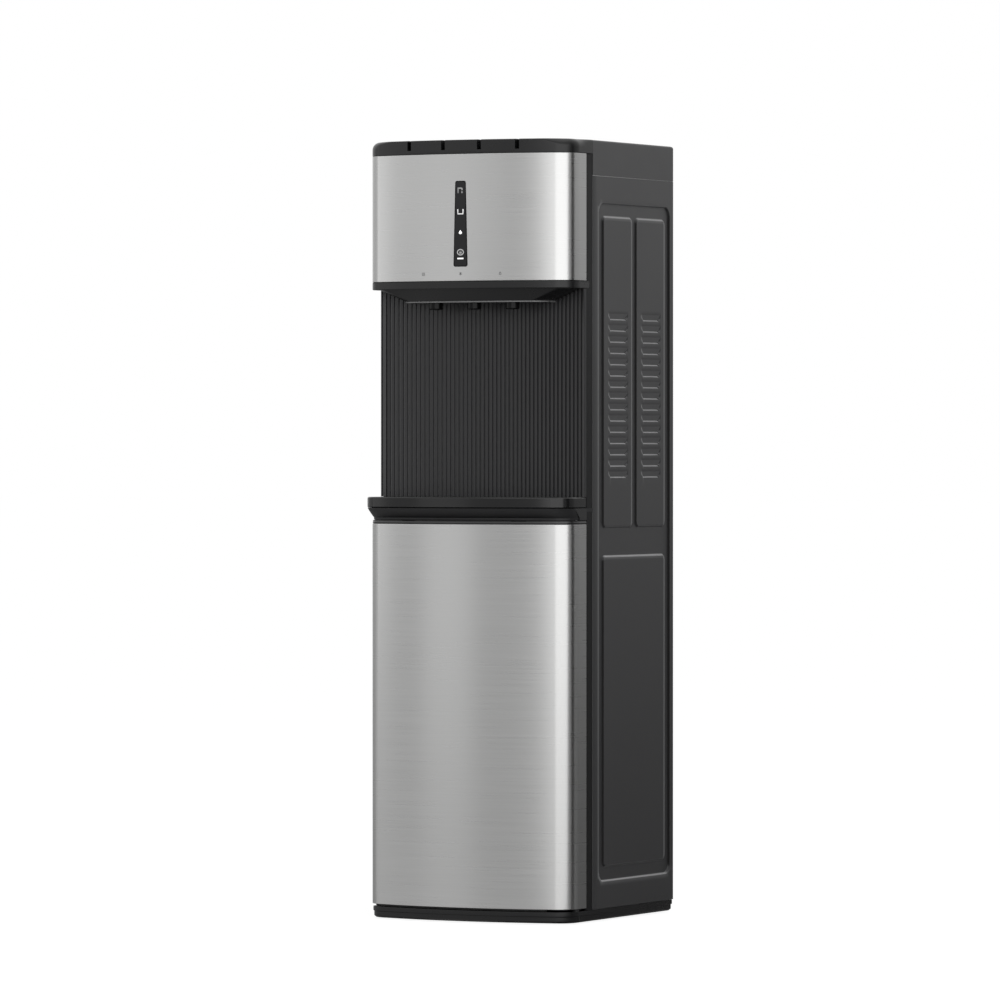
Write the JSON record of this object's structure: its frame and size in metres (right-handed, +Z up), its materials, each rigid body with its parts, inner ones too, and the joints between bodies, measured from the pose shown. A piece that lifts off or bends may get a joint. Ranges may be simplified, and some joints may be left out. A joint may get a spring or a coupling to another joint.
{
  "type": "bottom load water cooler",
  "caption": "Tall floor-standing water cooler: bowed steel fascia and door, ribbed dispensing niche with nozzles over a drip tray, bottle compartment below.",
  "frame": {"origin": "on the floor, at the middle of the overall width and depth", "axes": "+X to the right seen from the front, +Y towards the back, +Z up"},
  "size_m": [0.31, 0.3644, 1.0502],
  "materials": {
    "steel_skin": "fine horizontal brushing",
    "black_plastic": "fine grained moulding",
    "grey_paint": "fine powder coat",
    "grey_plastic": "satin moulding",
    "zinc_steel": "galvanised sheet",
    "dark_paint": "semi-gloss paint",
    "dark_plastic": "matt moulding",
    "rubber": "matt",
    "lens": "polished",
    "circuit_board": "satin",
    "foam": "moulded foam",
    "stainless": "smooth",
    "pale_plastic": "satin",
    "silicone": "smooth",
    "red_plastic": "glossy",
    "blue_plastic": "glossy"
  },
  "bodies": {
    "cabinet": {"fascia_skin": "steel_skin", "base_plinth": "black_plastic", "mid_frame": "black_plastic", "front_post_left": "black_plastic", "front_post_right": "black_plastic", "fascia_carrier": "black_plastic", "front_cap": "black_plastic", "nozzle_housing": "black_plastic", "nozzle_hot": "black_plastic", "nozzle_room": "black_plastic", "nozzle_cold": "black_plastic", "niche_wall": "black_plastic", "switch_plate": "black_plastic", "drain_outlet": "black_plastic", "bottle_platform": "black_plastic", "lance_holder": "black_plastic", "side_panel_left": "grey_paint", "side_panel_right": "grey_paint", "back_panel_lower": "grey_paint", "back_panel_upper": "grey_paint", "top_cover": "grey_plastic", "machine_shelf": "zinc_steel", "tank_deck": "zinc_steel", "hinge_pin_top": "zinc_steel", "hinge_pin_bottom": "zinc_steel", "compressor": "dark_paint", "condenser_grid": "dark_paint", "water_pump": "dark_plastic", "switch_hot": "dark_plastic", "switch_room": "dark_plastic", "switch_cold": "dark_plastic", "foot_front_left": "rubber", "foot_front_right": "rubber", "foot_rear_left": "rubber", "foot_rear_right": "rubber", "magnet_catch": "rubber", "power_gland": "rubber", "display_lens": "lens", "display_board": "circuit_board", "cold_tank": "foam", "hot_tank": "stainless", "control_box": "pale_plastic", "hinge_washer": "pale_plastic", "outlet_tube_hot": "silicone", "outlet_tube_room": "silicone", "outlet_tube_cold": "silicone"},
    "door": {"door_skin": "steel_skin", "door_liner": "black_plastic", "catch_plate": "zinc_steel"},
    "drip_tray": {"drip_tray": "black_plastic"},
    "drip_grille": {"drip_grille": "black_plastic"},
    "key_hot": {"key_hot": "black_plastic"},
    "key_room": {"key_room": "black_plastic"},
    "key_cold": {"key_cold": "black_plastic"},
    "rocker_hot": {"rocker_hot": "red_plastic"},
    "rocker_cold": {"rocker_cold": "blue_plastic"},
    "drain_cap": {"drain_cap": "black_plastic"},
    "suction_lance": {"suction_lance": "stainless"}
  },
  "joints": [
    {"name": "door_hinge", "type": "hinge", "parent": "cabinet", "child": "door", "pos_m": [0.149, -0.12063, 0.28], "axis": [0, 0, 1], "range_deg": [0, 110]},
    {"name": "key_hot_press", "type": "slide", "parent": "cabinet", "child": "key_hot", "axis": [0, 0, -1], "range_m": [0, 0.0012], "stiffness_N_per_m": 400, "springref_m": -0.002},
    {"name": "key_room_press", "type": "slide", "parent": "cabinet", "child": "key_room", "axis": [0, 0, -1], "range_m": [0, 0.0012], "stiffness_N_per_m": 400, "springref_m": -0.002},
    {"name": "key_cold_press", "type": "slide", "parent": "cabinet", "child": "key_cold", "axis": [0, 0, -1], "range_m": [0, 0.0012], "stiffness_N_per_m": 400, "springref_m": -0.002},
    {"name": "tray_pull", "type": "slide", "parent": "cabinet", "child": "drip_tray", "axis": [0, -1, 0], "range_m": [0, 0.1]},
    {"name": "grille_lift", "type": "slide", "parent": "drip_tray", "child": "drip_grille", "axis": [0, 0, 1], "range_m": [0, 0.03]},
    {"name": "rocker_cold_tilt", "type": "hinge", "parent": "cabinet", "child": "rocker_cold", "pos_m": [0.081, 0.16425, 0.9681], "axis": [-1, 0, 0], "range_deg": [0, 14]},
    {"name": "rocker_hot_tilt", "type": "hinge", "parent": "cabinet", "child": "rocker_hot", "pos_m": [0.103, 0.16425, 0.9681], "axis": [-1, 0, 0], "range_deg": [0, 14]},
    {"name": "drain_cap_pull", "type": "slide", "parent": "cabinet", "child": "drain_cap", "axis": [0, 1, 0], "range_m": [0, 0.02]},
    {"name": "lance_lift", "type": "slide", "parent": "cabinet", "child": "suction_lance", "axis": [0, 0, 1], "range_m": [0, 0.05]}
  ]
}
